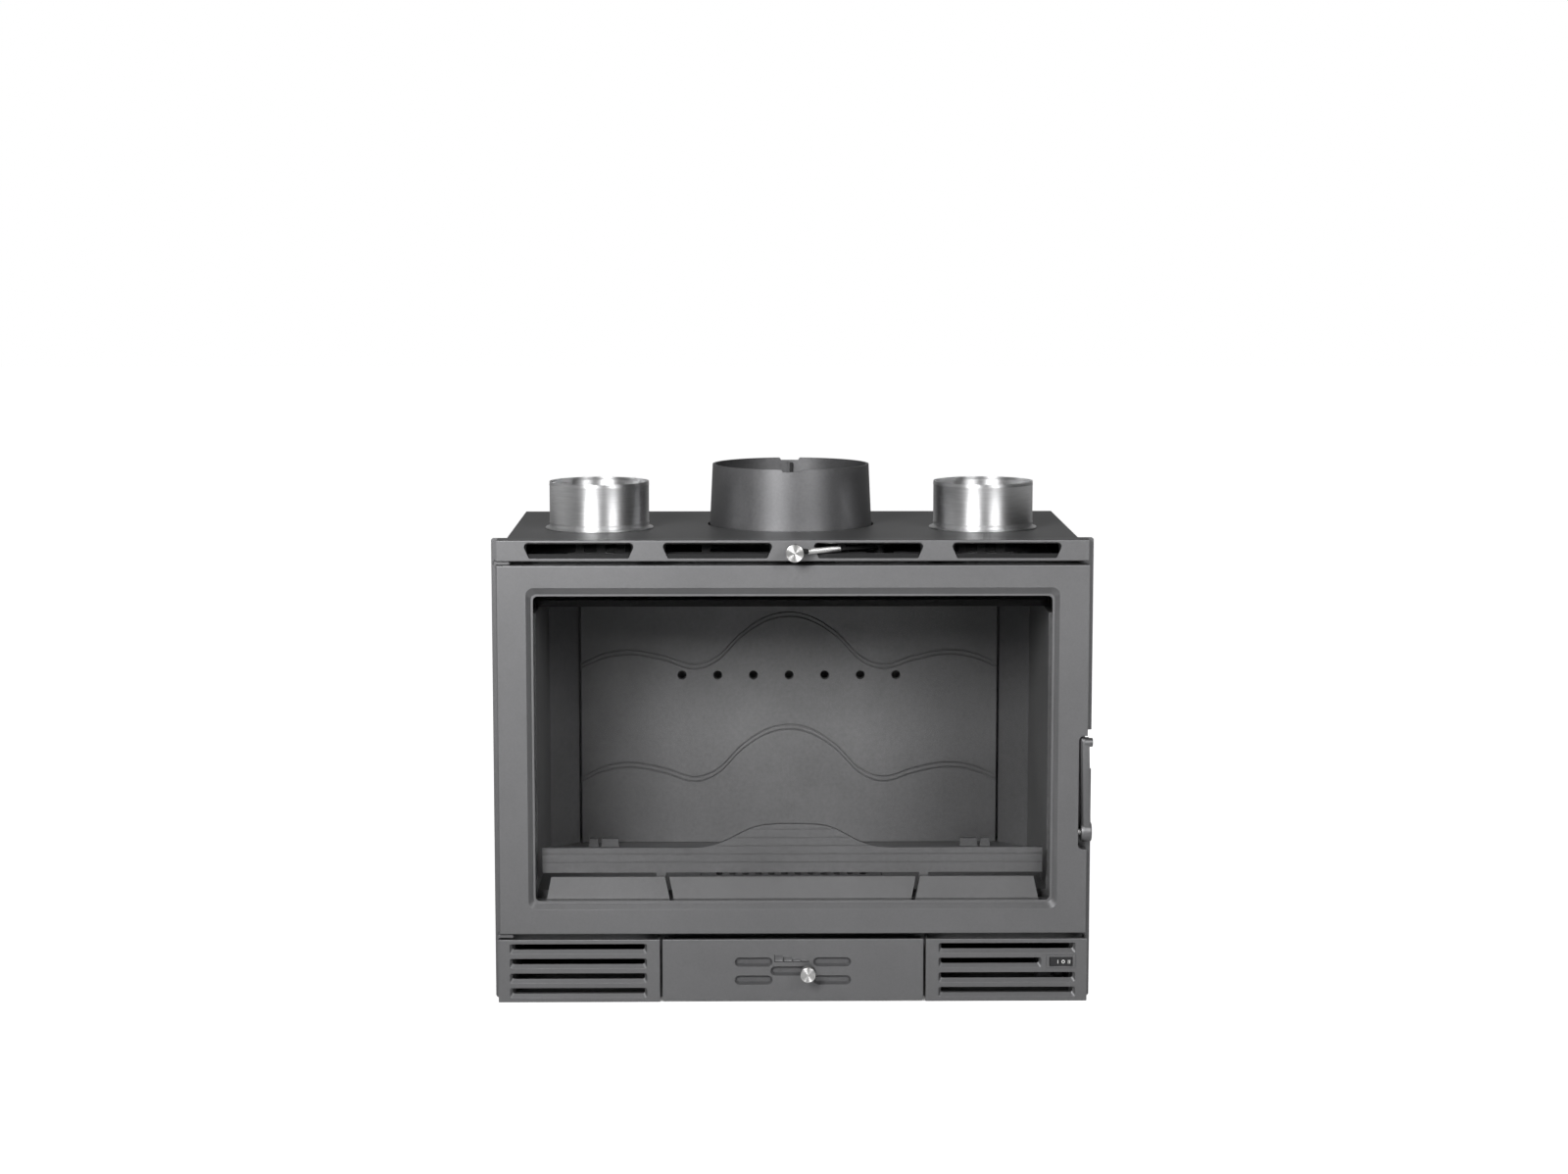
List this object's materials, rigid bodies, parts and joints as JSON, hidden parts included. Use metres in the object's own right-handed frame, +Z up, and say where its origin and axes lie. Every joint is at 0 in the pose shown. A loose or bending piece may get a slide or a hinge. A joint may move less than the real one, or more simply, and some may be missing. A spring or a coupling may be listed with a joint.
{
  "type": "fireplace insert",
  "caption": "Wood-burning fireplace insert: sheet casing, wide glass door, cast lining, ash drawer with air slide, flue collar with damper, hot-air sockets and fans.",
  "frame": {"origin": "centre of the 700 x 430 mm footprint, on the base's underside", "axes": "+Z up, along the flue; +X to the right as seen from the front; the door faces -Y"},
  "size_m": [0.707, 0.47, 0.6236],
  "materials": {
    "sheet_paint": "matt graphite stove paint on sheet",
    "face_paint": "matt graphite stove paint, fine texture",
    "cast_paint": "painted casting, matt",
    "fire_iron": "as cast, matt grey",
    "bare_steel": "rolled bright sheet",
    "zinc_sheet": "zinc coated",
    "turned_steel": "turned, satin",
    "motor_paint": "satin black",
    "glass": "clear ceramic glass",
    "rope": "braided glass fibre",
    "black_plastic": "black, satin",
    "wire_sleeve": "black sleeve"
  },
  "bodies": {
    "casing": {"top_grille": "face_paint", "front_frame": "sheet_paint", "casing_top": "sheet_paint", "casing_side_left": "sheet_paint", "casing_side_right": "sheet_paint", "casing_back": "sheet_paint", "base_plate": "sheet_paint", "plenum_floor": "sheet_paint", "firebox_shell": "sheet_paint", "firebox_top": "cast_paint", "firebox_front": "cast_paint", "firebox_floor": "fire_iron", "ash_chute": "sheet_paint", "back_lining": "fire_iron", "side_lining_left": "fire_iron", "side_lining_right": "fire_iron", "baffle_plate": "sheet_paint", "log_guard": "fire_iron", "grate": "fire_iron", "sill_centre": "fire_iron", "side_sills": "fire_iron", "flue_collar": "cast_paint", "hot_air_outlet_left": "bare_steel", "hot_air_outlet_right": "bare_steel", "grille_left": "face_paint", "grille_right": "face_paint", "switch_bezel": "face_paint", "blower_housings": "zinc_sheet", "blower_motors": "motor_paint", "terminal_box": "black_plastic", "cable_gland": "black_plastic", "wiring_loom": "wire_sleeve", "latch_striker": "sheet_paint", "hinge_brackets": "sheet_paint", "hinge_pins": "turned_steel", "drawer_bay": "sheet_paint", "casing_screws": "zinc_sheet", "damper_bush": "turned_steel", "top_ribs": "cast_paint"},
    "door": {"door_frame": "face_paint", "door_glass": "glass", "glass_gasket": "rope", "glass_clips": "zinc_sheet", "glass_clip_screws": "zinc_sheet", "door_rope_seal": "rope", "handle_pivot": "turned_steel"},
    "handle": {"handle_lever": "cast_paint", "latch_tongue": "cast_paint"},
    "damper": {"damper_spindle": "turned_steel", "damper_rod": "turned_steel", "damper_knob": "turned_steel", "damper_blade": "fire_iron"},
    "drawer": {"drawer_front": "face_paint", "ash_pan": "sheet_paint", "shutter_guides": "cast_paint"},
    "air_control": {"air_shutter": "cast_paint", "air_knob": "turned_steel"},
    "fan_switch": {"switch_rocker": "black_plastic"},
    "fan_left": {"blower_impeller_left": "zinc_sheet"},
    "fan_right": {"blower_impeller_right": "zinc_sheet"}
  },
  "joints": [
    {"name": "door_swing", "type": "hinge", "parent": "casing", "child": "door", "pos_m": [-0.3375, -0.203, 0.3], "axis": [0, 0, -1], "range_deg": [0, 105]},
    {"name": "handle_turn", "type": "hinge", "parent": "door", "child": "handle", "pos_m": [0.34, -0.203, 0.2015], "axis": [1, 0, 0], "range_deg": [0, 60]},
    {"name": "damper_swing", "type": "hinge", "parent": "casing", "child": "damper", "pos_m": [0.103, -0.167, 0.53], "axis": [0, 0, 1], "range_deg": [0, 35]},
    {"name": "drawer_slide", "type": "slide", "parent": "casing", "child": "drawer", "axis": [0, -1, 0], "range_m": [0, 0.29]},
    {"name": "air_slide", "type": "slide", "parent": "drawer", "child": "air_control", "axis": [-1, 0, 0], "range_m": [0, 0.035]},
    {"name": "switch_rock", "type": "hinge", "parent": "casing", "child": "fan_switch", "pos_m": [0.31765, -0.214, 0.0474], "axis": [0, 0, 1], "range_deg": [-10, 10]},
    {"name": "fan_left_spin", "type": "hinge", "parent": "casing", "child": "fan_left", "pos_m": [-0.243, 0.165, 0.044], "axis": [1, 0, 0], "continuous": true},
    {"name": "fan_right_spin", "type": "hinge", "parent": "casing", "child": "fan_right", "pos_m": [0.243, 0.165, 0.044], "axis": [1, 0, 0], "continuous": true}
  ]
}
